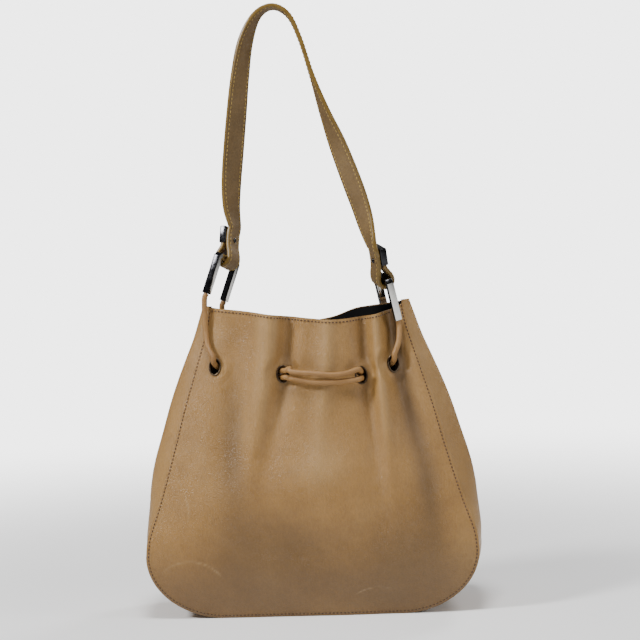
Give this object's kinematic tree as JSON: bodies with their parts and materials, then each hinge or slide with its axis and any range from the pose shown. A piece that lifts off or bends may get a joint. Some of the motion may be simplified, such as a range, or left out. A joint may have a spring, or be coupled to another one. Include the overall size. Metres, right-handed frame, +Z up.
{
  "type": "bucket bag",
  "caption": "Leather bucket bag with drawstrings through oval eyelets, hung by metal links from a two-ply shoulder strap.",
  "frame": {"origin": "middle of the bag's base, on the surface it stands on", "axes": "+Z up the bag, +X along its width to the right seen from the front, front towards -Y"},
  "size_m": [0.3126, 0.117, 0.5629],
  "materials": {
    "tan_leather": "smooth, softly worn",
    "cord_leather": "smooth round cord",
    "strap_lining_leather": "matt taupe",
    "lining": "plain black cloth",
    "base_board": "fibre board",
    "link_metal": "polished gunmetal",
    "cap_metal": "gloss black",
    "eyelet_metal": "dark antique"
  },
  "bodies": {
    "bag": {"front_panel": "tan_leather", "back_panel": "tan_leather", "gusset_left": "tan_leather", "gusset_right": "tan_leather", "base_panel": "tan_leather", "base_board": "base_board", "lining": "lining", "drawstring_left": "cord_leather", "drawstring_right": "cord_leather", "eyelet_front_left": "eyelet_metal", "eyelet_front_centre_left": "eyelet_metal", "eyelet_front_centre_right": "eyelet_metal", "eyelet_front_right": "eyelet_metal", "eyelet_back_left": "eyelet_metal", "eyelet_back_centre_left": "eyelet_metal", "eyelet_back_centre_right": "eyelet_metal", "eyelet_back_right": "eyelet_metal", "washer_front_left": "eyelet_metal", "washer_front_centre_left": "eyelet_metal", "washer_front_centre_right": "eyelet_metal", "washer_front_right": "eyelet_metal", "washer_back_left": "eyelet_metal", "washer_back_centre_left": "eyelet_metal", "washer_back_centre_right": "eyelet_metal", "washer_back_right": "eyelet_metal"},
    "strap": {"strap_outer_ply": "tan_leather", "strap_inner_ply": "strap_lining_leather", "strap_end_cap_left": "cap_metal", "strap_end_cap_right": "cap_metal", "strap_stud_left": "link_metal", "strap_stud_right": "link_metal"},
    "link_left": {"link_left": "link_metal"},
    "link_right": {"link_right": "link_metal"}
  },
  "joints": [
    {"name": "handle_swing", "type": "hinge", "parent": "bag", "child": "strap", "pos_m": [0, -0.032, 0.252], "axis": [1, 0, 0], "range_deg": [0, 110], "deforming": ["drawstring_left", "drawstring_right"]},
    {"name": "link_swing_left", "type": "hinge", "parent": "strap", "child": "link_left", "pos_m": [-0.0726, 0.0052, 0.3276], "axis": [-0.3517, -0.9045, 0.2412], "range_deg": [-7, 7], "deforming": ["drawstring_left"]},
    {"name": "link_swing_right", "type": "hinge", "parent": "strap", "child": "link_right", "pos_m": [0.073, -0.0128, 0.305], "axis": [0.3414, -0.9136, -0.2209], "range_deg": [-7, 7], "deforming": ["drawstring_right"]}
  ]
}
